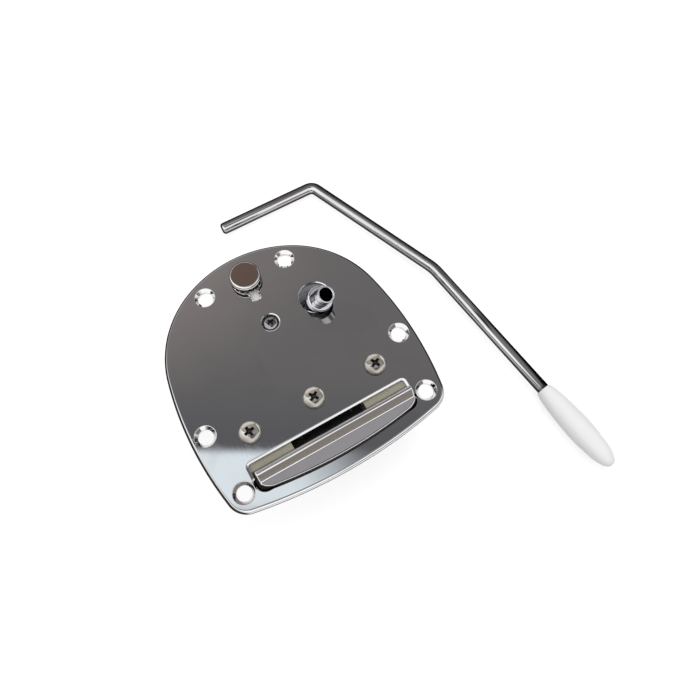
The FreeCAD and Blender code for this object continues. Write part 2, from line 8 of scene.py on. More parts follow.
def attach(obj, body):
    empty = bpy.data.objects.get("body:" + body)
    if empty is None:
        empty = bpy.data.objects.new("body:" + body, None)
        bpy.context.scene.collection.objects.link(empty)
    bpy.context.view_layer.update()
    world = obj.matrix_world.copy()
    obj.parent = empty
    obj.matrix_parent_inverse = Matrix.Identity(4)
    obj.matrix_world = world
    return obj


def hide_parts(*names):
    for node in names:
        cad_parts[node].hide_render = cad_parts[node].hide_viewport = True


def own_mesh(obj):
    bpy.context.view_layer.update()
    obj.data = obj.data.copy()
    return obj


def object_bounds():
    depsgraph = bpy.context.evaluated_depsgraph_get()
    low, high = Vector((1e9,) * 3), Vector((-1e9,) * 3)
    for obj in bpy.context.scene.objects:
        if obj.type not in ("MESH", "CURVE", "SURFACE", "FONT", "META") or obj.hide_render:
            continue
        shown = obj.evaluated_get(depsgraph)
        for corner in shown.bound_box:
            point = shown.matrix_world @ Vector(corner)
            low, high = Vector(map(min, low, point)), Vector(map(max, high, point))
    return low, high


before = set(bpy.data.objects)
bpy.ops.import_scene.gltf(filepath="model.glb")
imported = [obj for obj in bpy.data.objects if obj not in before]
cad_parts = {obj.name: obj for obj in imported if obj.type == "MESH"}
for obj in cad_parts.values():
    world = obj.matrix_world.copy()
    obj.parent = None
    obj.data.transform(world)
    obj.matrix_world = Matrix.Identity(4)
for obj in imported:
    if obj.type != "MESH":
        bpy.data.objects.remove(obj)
cadLow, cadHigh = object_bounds()
scene = bpy.context.scene
mm = 0.001          # pieces are drawn in millimetres and scaled once, when they are finished
weld = 1e-4         # points closer than this become one
print("frame loaded:", len(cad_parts), "nodes")


# Mesh helpers

def roundedLine(points, radii, steps=6, closed=False, guardShare=0.1, guardMost=0.15):
    # straight runs with rounded corners; a close point either side of each arc keeps the flats flat
    pts = [Vector(p) for p in points]
    count = len(pts)
    line = []
    for i, p in enumerate(pts):
        radius = radii[i] if isinstance(radii, (list, tuple)) else radii
        if radius <= 0 or (not closed and i in (0, count - 1)):
            line.append(p.copy())
            continue
        back = (pts[i - 1] - p).normalized()
        ahead = (pts[(i + 1) % count] - p).normalized()
        half = back.angle(ahead) / 2
        reach = radius / tan(half)
        centre = p + (back + ahead).normalized() * (radius / sin(half))
        start = p + back * reach - centre
        end = p + ahead * reach - centre
        way = 1 if start.x * end.y - start.y * end.x > 0 else -1
        guard = min(guardShare * radius, guardMost)
        line.append(centre + start + back * guard)
        for k in range(steps + 1):
            turn = way * (pi - 2 * half) * k / steps
            line.append(centre + Matrix.Rotation(turn, 2) @ start)
        line.append(centre + end + ahead * guard)
    return line


def circleLoop(radius, x, y, steps=64):
    angles = [2 * pi * k / steps for k in range(steps)]
    return [(Vector((x + radius * cos(a), y + radius * sin(a))), Vector((cos(a), sin(a)))) for a in angles]


def boxLoop(x0, x1, y0, y1, front, rear, steps=8):
    # rounded rectangle with its outward normals, its front and rear corners rounded apart
    loop = []
    for cx, cy, r, first in ((x1 - rear, y1 - rear, rear, 0), (x0 + rear, y1 - rear, rear, 90),
                             (x0 + front, y0 + front, front, 180), (x1 - front, y0 + front, front, 270)):
        for k in range(steps + 1):
            a = radians(first + 90 * k / steps)
            n = Vector((cos(a), sin(a)))
            loop.append((Vector((cx, cy)) + n * r, n))
    return loop


def addGrid(bm, rows, closeRows=False, closeCols=False, smooth=True, slot=0, darkCols=()):
    verts = [[bm.verts.new(p) for p in row] for row in rows]
    across = len(rows[0])
    for i in range(len(rows) if closeRows else len(rows) - 1):
        following = verts[(i + 1) % len(rows)]
        for j in range(across if closeCols else across - 1):
            k = (j + 1) % across
            face = bm.faces.new((verts[i][j], verts[i][k], following[k], following[j]))
            face.smooth = smooth
            face.material_index = 1 if j in darkCols else slot


def addFace(bm, points, slot=0):
    bm.faces.new([bm.verts.new(p) for p in points]).material_index = slot


def addStrip(bm, loop, profile, slot=0):
    # a profile of (offset along the loop's normal, height), carried around a closed loop
    rows = [[(p + n * off).to_3d() + Vector((0, 0, z)) for off, z in profile] for p, n in loop]
    addGrid(bm, rows, closeRows=True, slot=slot)


def insideLoops(loops, x, y):
    # even number of crossings: outside or in a hole
    inside = False
    for loop in loops:
        for p, q in zip(loop, loop[1:] + loop[:1]):
            if (p.y > y) != (q.y > y) and x < p.x + (y - p.y) / (q.y - p.y) * (q.x - p.x):
                inside = not inside
    return inside


def addFlat(bm, loops, z, wholeHull=0, tolerance=1e-6):
    # one flat face with holes, as triangles
    points, edges = [], []
    for loop in loops:
        first = len(points)
        points += loop
        edges += [(first + k, first + (k + 1) % len(loop)) for k in range(len(loop))]
    found = delaunay_2d_cdt(points, edges, [], wholeHull, tolerance)
    where, faces = found[0], found[2]
    verts = [bm.verts.new((p.x, p.y, z)) for p in where]
    for face in faces:
        middle = sum((where[k] for k in face), Vector((0, 0))) / len(face)
        if insideLoops(loops, middle.x, middle.y):
            bm.faces.new([verts[k] for k in face]).smooth = False
    bmesh.ops.delete(bm, geom=[v for v in verts if not v.link_faces], context="VERTS")


def offsetLoop(loop, amount):
    return [p + n * amount for p, n in loop]


def addRevolve(bm, profile, origin=(0, 0, 0), axis=(0, 0, 1), steps=64, darkCols=()):
    place = Matrix.Translation(Vector(origin)) @ Vector(axis).to_track_quat("Z", "Y").to_matrix().to_4x4()
    rows = []
    for k in range(steps):
        a = 2 * pi * k / steps
        rows.append([place @ Vector((p[0] * cos(a), p[0] * sin(a), p[1])) for p in profile])
    addGrid(bm, rows, closeRows=True, darkCols=darkCols)


def addBar(bm, path, radii, steps=40):
    # round bar along a line of points, each with its own radius
    rows = []
    count = len(path)
    for i, (p, r) in enumerate(zip(path, radii)):
        way = (path[min(i + 1, count - 1)] - path[max(i - 1, 0)]).normalized()
        across = way.cross(Vector((0, 0, 1))).normalized()
        upward = across.cross(way)
        angles = [2 * pi * k / steps for k in range(steps)]
        rows.append([p + across * (r * cos(a)) + upward * (r * sin(a)) for a in angles])
    addGrid(bm, rows, closeCols=True)


def weldMesh(bm):
    bmesh.ops.remove_doubles(bm, verts=bm.verts, dist=weld)
    bmesh.ops.recalc_face_normals(bm, faces=bm.faces)


def solidMesh(bm):
    # two slots keep the cut faces apart, the second for steel painted dark as shade; the finished piece
    # brings its own metals
    weldMesh(bm)
    mesh = bpy.data.meshes.new("rough")
    bm.to_mesh(mesh)
    bm.free()
    mesh.materials.append(nickel)
    mesh.materials.append(paintedShadeSteel)
    return mesh


def carve(bm, cutter):
    # first solid less the second, given back as a new bmesh
    pair = [bpy.data.objects.new("carve", solidMesh(b)) for b in (bm, cutter)]
    for one in pair:
        scene.collection.objects.link(one)
    change = pair[0].modifiers.new("cut", "BOOLEAN")
    change.object = pair[1]
    change.solver = "EXACT"
    found = bpy.data.meshes.new_from_object(pair[0].evaluated_get(bpy.context.evaluated_depsgraph_get()))
    result = bmesh.new()
    result.from_mesh(found)
    for one in pair:
        bpy.data.objects.remove(one)
    return result


def finishPiece(bm, name, materials, body, nodes, sharp=None):
    weldMesh(bm)
    if sharp:                       # edges that turn further than this stay crisp
        for edge in bm.edges:
            if len(edge.link_faces) == 2 and edge.calc_face_angle() > radians(sharp):
                edge.smooth = False
    bmesh.ops.scale(bm, vec=(mm, mm, mm), verts=bm.verts)
    mesh = bpy.data.meshes.new(name)
    bm.to_mesh(mesh)
    bm.free()
    piece = bpy.data.objects.new(name, mesh)
    scene.collection.objects.link(piece)
    for material in materials:
        mesh.materials.append(material)
    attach(piece, body)
    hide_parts(*nodes)
    print("piece", name, len(mesh.polygons), "faces")
    return piece


# Material helpers

def newGroup(name, inputs, outputs):
    group = bpy.data.node_groups.new(name, "ShaderNodeTree")
    for label, kind, value in inputs:
        socket = group.interface.new_socket(label, in_out="INPUT", socket_type=kind)
        socket.default_value = value
    for label, kind in outputs:
        group.interface.new_socket(label, in_out="OUTPUT", socket_type=kind)
    return group, group.nodes.new("NodeGroupInput"), group.nodes.new("NodeGroupOutput")


def node(tree, kind, **values):
    made = tree.nodes.new(kind)
    for key, value in values.items():
        if hasattr(made, key):
            setattr(made, key, value)
        else:
            made.inputs[key.replace("_", " ")].default_value = value
    return made


def ramp(tree, value, clear, full):
    # smooth rise from 0 to 1 between two values, or a fall where the first is the larger
    level = node(tree, "ShaderNodeMapRange", interpolation_type="SMOOTHSTEP", From_Min=clear, From_Max=full)
    tree.links.new(value, level.inputs["Value"])
    return level.outputs[0]


def combine(tree, operation, *values):
    # one Math node over sockets and numbers
    made = node(tree, "ShaderNodeMath", operation=operation)
    for place, value in zip(made.inputs, values):
        if isinstance(value, float):
            place.default_value = value
        else:
            tree.links.new(value, place)
    return made.outputs[0]


def mixColours(tree, mask, below, above, blend="MIX"):
    # colours are tuples or sockets; a Mix node repeats its socket names, so its colours go by number
    first, second, result = 6, 7, 2
    made = node(tree, "ShaderNodeMix", data_type="RGBA", blend_type=blend)
    tree.links.new(mask, made.inputs["Factor"])
    for place, given in ((first, below), (second, above)):
        if isinstance(given, tuple):
            made.inputs[place].default_value = (*given, 1)
        else:
            tree.links.new(given, made.inputs[place])
    return made.outputs[result]


polish = {
    "smearScale": 55.0, "smearRange": (0.45, 0.75), "smearTone": (0.86, 0.86, 0.87), "smearRoughness": 0.05,
    "lineTurns": (0.35, 1.9), "lineScale": (4000, 60, 60), "lineRange": (0.6, 0.78), "lineRoughness": 0.03,
    "reliefStrength": 0.02, "reliefDepth": 0.0001, "bevelSamples": 6,
}


def buildPolishGroup():
    # hairline scratches and faint smears of a polished metal face
    group, given, out = newGroup(
        "polishedMetal",
        [("Colour", "NodeSocketColor", (0.8, 0.8, 0.8, 1)), ("Roughness", "NodeSocketFloat", 0.04),
         ("Smear", "NodeSocketFloat", 0.5), ("Scratch", "NodeSocketFloat", 0.5),
         ("Scale", "NodeSocketFloat", 1.0)],
        [("Colour", "NodeSocketColor"), ("Roughness", "NodeSocketFloat"), ("Height", "NodeSocketFloat")])
    link = group.links.new
    where = node(group, "ShaderNodeTexCoord")
    sized = node(group, "ShaderNodeVectorMath", operation="SCALE")
    link(where.outputs["Object"], sized.inputs[0])
    link(given.outputs["Scale"], sized.inputs["Scale"])
    smear = node(group, "ShaderNodeTexNoise", Scale=polish["smearScale"], Detail=3.0, Roughness=0.55,
                 Distortion=0.6)
    link(sized.outputs[0], smear.inputs["Vector"])
    smears = ramp(group, smear.outputs[0], *polish["smearRange"])
    film = combine(group, "MULTIPLY", smears, given.outputs["Smear"])
    hairlines = []
    for turn in polish["lineTurns"]:            # two sets of hairlines, each a stretched noise
        lay = node(group, "ShaderNodeMapping", vector_type="POINT", Rotation=(0, 0, turn),
                   Scale=polish["lineScale"])
        link(sized.outputs[0], lay.inputs["Vector"])
        lines = node(group, "ShaderNodeTexNoise", Scale=1.0, Detail=2.0)
        link(lay.outputs[0], lines.inputs["Vector"])
        hairlines.append(ramp(group, lines.outputs[0], *polish["lineRange"]))
    marks = combine(group, "MULTIPLY", combine(group, "ADD", *hairlines), given.outputs["Scratch"])
    rougher = combine(group, "MULTIPLY_ADD", film, polish["smearRoughness"], given.outputs["Roughness"])
    roughest = combine(group, "MULTIPLY_ADD", marks, polish["lineRoughness"], rougher)
    dulled = mixColours(group, film, given.outputs["Colour"], polish["smearTone"], "MULTIPLY")
    link(dulled, out.inputs["Colour"])
    link(roughest, out.inputs["Roughness"])
    link(marks, out.inputs["Height"])
    return group


polishGroup = buildPolishGroup()


def placeMask(tree, kind, axis, clear, full):
    # 0 to 1 between two values of a coordinate of the piece, or of its normal
    where = node(tree, "ShaderNodeTexCoord")
    split = node(tree, "ShaderNodeSeparateXYZ")
    tree.links.new(where.outputs[kind], split.inputs[0])
    return ramp(tree, split.outputs[axis], clear, full)


def facingMask(tree, clear, full):
    # 0 where the face looks at the viewer, 1 where it turns away
    facing = node(tree, "ShaderNodeLayerWeight", Blend=0.5)
    return ramp(tree, facing.outputs["Facing"], clear, full)


def product(tree, masks):
    whole = masks[0]
    for mask in masks[1:]:
        whole = combine(tree, "MULTIPLY", whole, mask)
    return whole


def maskOf(tree, edges):
    # product of several edges, each "Facing" with two values or a kind, an axis and two values
    return product(tree, [facingMask(tree, *rest) if kind == "Facing" else placeMask(tree, kind, *rest)
                          for kind, *rest in edges])


def newMaterial(name):
    material = bpy.data.materials.new(name)
    material.use_nodes = True
    return material, material.node_tree, material.node_tree.nodes["Principled BSDF"]


def metalMaterial(name, colour, roughness, smear=0.5, scratch=0.5, scale=1.0, rounding=0.0, metal=1.0,
                  edge=1.0):
    # edge below 1 makes the metal darker where the face turns away
    material, tree, shader = newMaterial(name)
    shader.inputs["Metallic"].default_value = metal
    shader.inputs["Specular Tint"].default_value = (edge, edge, edge, 1)
    face = node(tree, "ShaderNodeGroup", node_tree=polishGroup, Colour=(*colour, 1), Roughness=roughness,
                Smear=smear, Scratch=scratch, Scale=scale)
    relief = node(tree, "ShaderNodeBump", Strength=polish["reliefStrength"], Distance=polish["reliefDepth"])
    tree.links.new(face.outputs["Colour"], shader.inputs["Base Color"])
    tree.links.new(face.outputs["Roughness"], shader.inputs["Roughness"])
    tree.links.new(face.outputs["Height"], relief.inputs["Height"])
    tree.links.new(relief.outputs["Normal"], shader.inputs["Normal"])
    if rounding:                        # soft edges on plain solids
        soft = node(tree, "ShaderNodeBevel", samples=polish["bevelSamples"], Radius=rounding)
        tree.links.new(soft.outputs["Normal"], relief.inputs["Normal"])
    return material


def darken(material, mask, tone):
    # multiplies the metal's colour by a tone where the mask is 1
    tree = material.node_tree
    into = tree.nodes["Principled BSDF"].inputs["Base Color"]
    tree.links.new(mixColours(tree, mask, into.links[0].from_socket, (tone, tone, tone), "MULTIPLY"), into)


def roughen(material, mask, amount):
    # brings the metal's roughness to an amount where the mask is 1
    first, second = 2, 3                # number sockets of a Mix node
    tree = material.node_tree
    into = tree.nodes["Principled BSDF"].inputs["Roughness"]
    rub = node(tree, "ShaderNodeMix", data_type="FLOAT")
    rub.inputs[second].default_value = amount
    tree.links.new(mask, rub.inputs["Factor"])
    tree.links.new(into.links[0].from_socket, rub.inputs[first])
    tree.links.new(rub.outputs[0], into)


plastic = {"colour": (0.82, 0.82, 0.815), "roughness": 0.3, "cloudTone": (0.94, 0.945, 0.95),
           "cloudScale": 90.0, "skinScale": 1400.0, "skinStrength": 0.03, "skinDepth": 0.0002}


def plasticMaterial(name):
    material, tree, shader = newMaterial(name)
    where = node(tree, "ShaderNodeTexCoord")
    cloud = node(tree, "ShaderNodeTexNoise", Scale=plastic["cloudScale"], Detail=3.0)
    tree.links.new(where.outputs["Object"], cloud.inputs["Vector"])
    clouded = tuple(c * t for c, t in zip(plastic["colour"], plastic["cloudTone"]))
    tone = mixColours(tree, cloud.outputs[0], plastic["colour"], clouded)
    tree.links.new(tone, shader.inputs["Base Color"])
    skin = node(tree, "ShaderNodeTexNoise", Scale=plastic["skinScale"], Detail=2.0)
    tree.links.new(where.outputs["Object"], skin.inputs["Vector"])
    relief = node(tree, "ShaderNodeBump", Strength=plastic["skinStrength"], Distance=plastic["skinDepth"])
    tree.links.new(skin.outputs[0], relief.inputs["Height"])
    tree.links.new(relief.outputs["Normal"], shader.inputs["Normal"])
    shader.inputs["Roughness"].default_value = plastic["roughness"]
    return material


softEdge = 0.0003       # rounded look of the plain solids' edges, in metres
chrome = metalMaterial("mirrorChrome", (0.80, 0.79, 0.79), 0.03, smear=0.4, scratch=0.4)
rimChrome = metalMaterial("rimChrome", (0.80, 0.80, 0.81), 0.03, smear=0.4, scratch=0.4, edge=0.1)
# the socket's and the collar's chrome are lighter copies of the plate's chrome: painted light
paintedLightChrome = metalMaterial("paintedLightChrome", (0.92, 0.93, 0.96), 0.03, smear=0.4, scratch=0.4, edge=0.15)
collarChrome = metalMaterial("collarChrome", (0.86, 0.87, 0.90), 0.03, smear=0.4, scratch=0.4, edge=0.15)
lipChrome = metalMaterial("lipChrome", (0.82, 0.81, 0.81), 0.06, smear=0.5, scratch=0.8)
knobChrome = metalMaterial("knobChrome", (0.86, 0.84, 0.82), 0.05, smear=0.5, scratch=0.6, scale=1.5,
                           edge=0.15)
knobTop = metalMaterial("knobTop", (0.5, 0.37, 0.31), 0.07, smear=0.8, scratch=0.8, scale=1.5)
nickel = metalMaterial("warmNickel", (0.95, 0.9, 0.82), 0.1, smear=0.6, scratch=0.6, scale=1.6, metal=0.88,
                       edge=0.3)
yellowZinc = metalMaterial("yellowZinc", (0.42, 0.40, 0.31), 0.42, smear=0.9, scratch=0.8, metal=0.35,
                           rounding=softEdge)
paleZinc = metalMaterial("paleZinc", (0.55, 0.57, 0.60), 0.28, smear=0.9, scratch=0.7, metal=0.8,
                         rounding=softEdge)
# zinc painted dark as the shade it lies in, under the plate
paintedShadeZinc = metalMaterial("paintedShadeZinc", (0.24, 0.245, 0.27), 0.3, smear=0.9, scratch=0.7, metal=0.8,
                          rounding=softEdge)
# near-white zinc: painted light, for the lock plate seen through its slot
paintedLightZinc = metalMaterial("paintedLightZinc", (0.95, 0.95, 0.95), 0.3, smear=0.6, scratch=0.7, metal=0.1,
                           rounding=softEdge)
# chrome painted dark as shade, for the tension screw's head in its hole
paintedShadeChrome = metalMaterial("paintedShadeChrome", (0.34, 0.34, 0.36), 0.08, smear=0.6, scratch=0.6, edge=0.1)
# steel painted near-black as shade: screw recesses, the socket bore, the lip's underside and neck, the rivets
paintedShadeSteel = metalMaterial("paintedShadeSteel", (0.035, 0.034, 0.033), 0.4, smear=0.8, scratch=0.5, metal=0.6)
springSteel = metalMaterial("springSteel", (0.36, 0.36, 0.37), 0.22, smear=0.7, scratch=0.3)
armSteel = metalMaterial("armSteel", (0.74, 0.73, 0.73), 0.08, smear=0.6, scratch=0.6, edge=0.05)
whitePlastic = plasticMaterial("whitePlastic")

# painted shade: each metal is darkened by a tone where all its edges hold, each edge from where the darkening
# starts to where it is full
socketFront = [("Normal", "Y", -0.3, -0.65)]
for metal, tone, edges in (
        (yellowZinc, 0.08, [("Object", "Y", 0.0178, 0.0167)]),                          # in the lip's shadow
        (armSteel, 0.1, [("Facing", 0.06, 0.36), ("Normal", "Z", -0.45, -0.15)]),       # sides of the bar
        (armSteel, 0.2, [("Normal", "X", -0.45, -0.31), ("Normal", "Z", 0.5, 0.75),     # top of the long leg
                         ("Object", "Y", 0.05, 0.025)]),
        (knobChrome, 0.12, [("Facing", 0.22, 0.46)]),
        (collarChrome, 0.06, [("Normal", "Z", 0.05, -0.25)]),                           # under the collar
        (nickel, 0.5, [("Normal", "Y", 0.15, -0.3)]),                                   # front of the heads
        (nickel, 0.5, [("Normal", "X", -0.08, -0.45)]),                                 # their bass side
        (nickel, 0.2, [("Facing", 0.42, 0.66)]),
        (paintedLightChrome, 0.4, socketFront), (collarChrome, 0.4, socketFront)):
    darken(metal, maskOf(metal.node_tree, edges), tone)
# the arm is worn matt between its bends
worn = {"roughness": 0.3, "edges": [("Object", "Y", 0.07, 0.09), ("Object", "Y", 0.145, 0.125)]}
roughen(armSteel, maskOf(armSteel.node_tree, worn["edges"]), worn["roughness"])
# painted dark reflection: the roll of the rim is painted darker on all sides but the front
rim = {"tone": 0.06, "roll": [("Normal", "Z", 0.985, 0.92), ("Normal", "Z", 0.1, 0.4)],
       "rear": ("Normal", "Y", -0.3, -0.12), "bass": ("Normal", "X", -0.22, -0.42)}
rimTree = rimChrome.node_tree
rimSides = combine(rimTree, "MAXIMUM", placeMask(rimTree, *rim["rear"]), placeMask(rimTree, *rim["bass"]))
darken(rimChrome, combine(rimTree, "MULTIPLY", maskOf(rimTree, rim["roll"]), rimSides), rim["tone"])
print("materials ready")


# Top plate

plate = {
    "height": 3.0, "sheet": 1.8, "edge": 1.5, "frontY": -1.5,
    "arcs": [(227.0, 11.0), (9.0, 67.8), (154.0, 22.2), (48.0, 51.0)],      # radius, turn
    "leastSteps": 12, "stepsPerDegree": 0.9, "rearSteps": 24,
    "rimRounds": (0.15, 0.15, 0.3), "lap": 0.4, "underLap": 0.8,            # laps: flats beside round edges
    "mountPairs": [(42.9, 11.25), (46.55, 39.4), (20.0, 96.595)],
    "mountHole": 3.2, "countersink": 4.6, "dishWall": 1.1,
    "dishRounds": (0.35, 0.25, 0.1, 0.2, 0.2), "dishLap": 0.6, "dishUnderLap": 0.3,
    "slot": (-36.8, 36.8, 8.0, 20.3), "slotFront": 3.4, "slotRear": 1.2, "slotEdge": 0.6, "holeEdge": 0.3,
    "socketHole": (22.9, 72.695, 7.25), "tensionHole": (0.0, 71.595, 3.9),
    "lockSlot": (-2.0, 2.0, 84.045, 97.645), "lockCorner": 1.6,
    "bolts": [(-29.9, 31.8), (0.0, 31.8), (29.9, 31.8)], "boltHole": 2.65, "boltEdge": 0.1,
    "slopeWide": 1.7, "slopeDeep": 0.67, "slopeRounds": (1.6, 0.3), "wallRound": 0.08,      # slope: by edge
}


def plateOutline():
    # tangent arcs from the front centre to the rear on the right, then mirrored
    right = []
    point, heading = Vector((0, plate["frontY"])), 0.0
    for radius, turn in plate["arcs"]:
        centre = point + Vector((-sin(heading), cos(heading))) * radius
        steps = max(plate["leastSteps"], int(turn * plate["stepsPerDegree"]))
        for k in range(steps):
            t = heading + radians(turn) * k / steps
            right.append((centre + Vector((sin(t), -cos(t))) * radius, Vector((sin(t), -cos(t)))))
        heading += radians(turn)
        point = centre + Vector((sin(heading), -cos(heading))) * radius
    rearRadius = point.x / sin(heading)
    centre = Vector((0, point.y + rearRadius * cos(heading)))
    steps = plate["rearSteps"]
    for k in range(steps + 1):
        t = heading + (pi - heading) * k / steps
        right.append((centre + Vector((sin(t), -cos(t))) * rearRadius, Vector((sin(t), -cos(t)))))
    left = [(Vector((-p.x, p.y)), Vector((-n.x, n.y))) for p, n in reversed(right[1:-1])]
    return right + left


def buildPlate():
    bm = bmesh.new()
    top, edge, sheet = plate["height"], plate["edge"], plate["sheet"]
    under = top - sheet
    outline = plateOutline()
    roll = roundedLine([(-edge - plate["lap"], top), (0, top), (0, 0), (-sheet, 0), (-sheet, under),
                        (-sheet - plate["underLap"], under)], [0, edge, *plate["rimRounds"], 0], steps=14)
    addStrip(bm, outline, roll, slot=1)
    topLoops = [offsetLoop(outline, roll[0].x)]
    underLoops = [offsetLoop(outline, roll[-1].x)]

    def addWall(loop, wall):
        addStrip(bm, loop, wall)
        topLoops.append(offsetLoop(loop, wall[0].x))
        underLoops.append(offsetLoop(loop, wall[-1].x))

    fine = plate["holeEdge"]
    openings = [(boxLoop(*plate["slot"], plate["slotFront"], plate["slotRear"]), plate["slotEdge"]),
                (boxLoop(*plate["lockSlot"], plate["lockCorner"], plate["lockCorner"]), fine)]
    for x, y, radius in (plate["socketHole"], plate["tensionHole"]):
        openings.append((circleLoop(radius, x, y, steps=96), fine))
    for x, y in plate["bolts"]:
        openings.append((circleLoop(plate["boltHole"], x, y, steps=40), plate["boltEdge"]))
    upper, lower = plate["slopeRounds"]
    for loop, turn in openings:
        wide = turn * plate["slopeWide"]                # a shallow, softened slope around the opening
        line = [(wide + plate["lap"], top), (wide, top), (0, top - turn * plate["slopeDeep"]), (0, under),
                (turn, under)]
        addWall(loop, roundedLine(line, [0, turn * upper, turn * lower, plate["wallRound"], 0], steps=6))
    hole, sink = plate["mountHole"], plate["countersink"]
    dish = sink + plate["dishWall"]
    line = [(sink + plate["dishLap"], top), (sink, top), (hole, top - sink + hole), (hole, 0), (dish, 0),
            (dish, under), (dish + plate["dishUnderLap"], under)]
    wall = roundedLine(line, [0, *plate["dishRounds"], 0], steps=6)
    for x, y in [(side * px, py) for px, py in plate["mountPairs"] for side in (-1, 1)]:
        addWall([(Vector((x, y)), n) for p, n in circleLoop(1, x, y, steps=72)], wall)
    addFlat(bm, topLoops, top)
    addFlat(bm, underLoops, under)
    return finishPiece(bm, "topPlate", [chrome, rimChrome], "base", ["top_plate"])


buildPlate()


# String lip

lip = {
    "sheet": 1.4, "half": 35.9, "shift": 0.5, "pivot": (14.6, 1.3),
    "ridge": (0.0, 8.8), "crease": (-3.4, 4.7),         # from the pivot
    "frontY": 4.75, "frontZ": 5.0, "frontRadius": 210.0, "flatHalf": 31.0, "bendRadius": 8.0, "corner": 1.2,
    "folds": (0.5, 1.7), "endRound": 0.4, "neckHalf": 16.85, "footRear": 28.0, "footZ": -7.1, "neckBend": 2.4,
    "neckTop": 1.0, "creaseGap": 0.9, "endStep": 0.1, "stations": 40, "endTurns": (22, 45, 67, 90),
}


def lipFront(x):
    # front edge of the apron: a long arc, tighter towards the ends, with small round corners
    across = abs(x - lip["shift"])
    big, small, flat = lip["frontRadius"], lip["bendRadius"], lip["flatHalf"]
    if across <= flat:
        return lip["frontY"] + big - sqrt(big ** 2 - across ** 2)
    turn = asin(flat / big)
    centreX = flat - small * sin(turn)
    centreY = lip["frontY"] + big * (1 - cos(turn)) + small * cos(turn)
    y = centreY - sqrt(small ** 2 - (across - centreX) ** 2)
    over = across - lip["half"] + lip["corner"]
    if over > 0:
        y += lip["corner"] - sqrt(max(lip["corner"] ** 2 - over ** 2, 0))
    return y


def thickLine(line, half, steps=8):
    # both sides of a line at a distance, with half-round ends
    count = len(line)
    ways = [(line[min(i + 1, count - 1)] - line[max(i - 1, 0)]).normalized() for i in range(count)]
    left = [p + Vector((-w.y, w.x)) * half for p, w in zip(line, ways)]
    right = [p - Vector((-w.y, w.x)) * half for p, w in zip(line, ways)]

    def cap(p, start):
        return [p + Matrix.Rotation(-pi * k / steps, 2) @ start for k in range(1, steps)]

    return left + cap(line[-1], left[-1] - line[-1]) + right[::-1] + cap(line[0], right[0] - line[0])


def lipSection(x, half):
    # closed outline of the bent sheet at one place along the lip
    py, pz = lip["pivot"]
    folds = [(py + y, pz + z) for y, z in (lip["ridge"], lip["crease"])]
    endY = min(lipFront(x) + half, folds[1][0] - lip["creaseGap"])
    run = (folds[1][0] - endY) / (folds[1][0] - lip["frontY"] + lip["sheet"])
    endZ = folds[1][1] + (lip["frontZ"] - folds[1][1]) * run
    line = roundedLine([(py, pz)] + folds + [(endY, endZ)], [0, *lip["folds"], 0], steps=8)
    near = lip["endStep"]               # a close point at both ends keeps the flats flat
    line = [line[0], line[0].lerp(line[1], near), *line[1:-1], line[-2].lerp(line[-1], 1 - near), line[-1]]
    return thickLine(line, half)


def buildLip():
    bm = bmesh.new()
    half, soft = lip["half"], lip["endRound"]
    inner = half - soft
    count = lip["stations"]             # even in the middle, closer together towards the ends
    right = [(inner * (sqrt(k / count) if 2 * k > count else sqrt(0.5) * 2 * k / count), 0.0)
             for k in range(count + 1)]
    right += [(inner + soft * sin(radians(a)), soft * (1 - cos(radians(a)))) for a in lip["endTurns"]]
    stations = [(-x, s) for x, s in reversed(right[1:])] + right
    rows = []
    for x, shrink in stations:
        along = lip["shift"] + x
        rows.append([Vector((along, p.x, p.y)) for p in lipSection(along, lip["sheet"] / 2 - shrink)])
    # painted shade: the lip's underside and its front edge up to the upper corner take the dark steel, as the
    # shade under the apron
    underside = range(len(rows[0]) // 2 - 1)            # up to the upper corner of the front edge
    addGrid(bm, rows, closeCols=True, darkCols=underside)
    for row in (rows[0], rows[-1]):
        addFace(bm, row)
    py, pz = lip["pivot"]
    neck = [(py, pz + lip["neckTop"]), (py, lip["footZ"]), (lip["footRear"], lip["footZ"])]
    line = roundedLine(neck, [0, lip["neckBend"], 0], steps=8)
    ends = (-lip["neckHalf"], lip["neckHalf"])
    rows = [[Vector((x, p.x, p.y)) for p in thickLine(line, lip["sheet"] / 2)] for x in ends]
    # the neck through the window takes the same dark steel, as painted shade below the plate
    addGrid(bm, rows, closeCols=True, slot=1)
    for row in rows:
        addFace(bm, row, slot=1)
    return finishPiece(bm, "stringLip", [lipChrome, paintedShadeSteel], "string_plate", ["string_lip"], sharp=50)


buildLip()


# Pan-head screws with a cross recess

pivotScrew = {"head": 4.8, "height": 2.7, "base": 3.0, "shank": 2.5, "end": -5.6, "chamfer": 0.28,
              "turns": (12, 33, 24)}
tensionScrew = {"head": 3.4, "height": 2.38, "base": 0.82, "shank": 2.0, "end": -31.5, "place": (0.0, 71.595),
                "turn": 18, "neck": 1.0, "neckShare": 0.9, "pitch": 0.7, "thread": 0.22, "threadTop": 0.6,
                "threadSteps": 24, "rowsPerTurn": 8, "taper": 0.8, "endShare": 0.6}
# shares of the head's radius or height; pairs are at the top and at the bottom of the recess
panHead = {"side": 0.32, "foot": 0.985, "footRound": 0.25, "recess": 0.62, "armLong": (0.62, 0.3),
           "armWide": (0.16, 0.1), "middle": (0.3, 0.17), "point": 0.4, "above": 1.0}


def headProfile(spec):
    # from the rim of the underside, round the side and over the dome
    head, height, base = spec["head"], spec["height"], spec["base"]
    side = base + height * panHead["side"]
    rise = base + height - side
    foot = [(0.0, base), (head * panHead["foot"], base), (head, side)]
    low = roundedLine(foot, [0, panHead["footRound"], 0], steps=4)
    dome = [Vector((head * cos(radians(a)), side + rise * sin(radians(a)))) for a in range(0, 90, 6)]
    return low[1:-1] + dome + [Vector((0, base + height))]


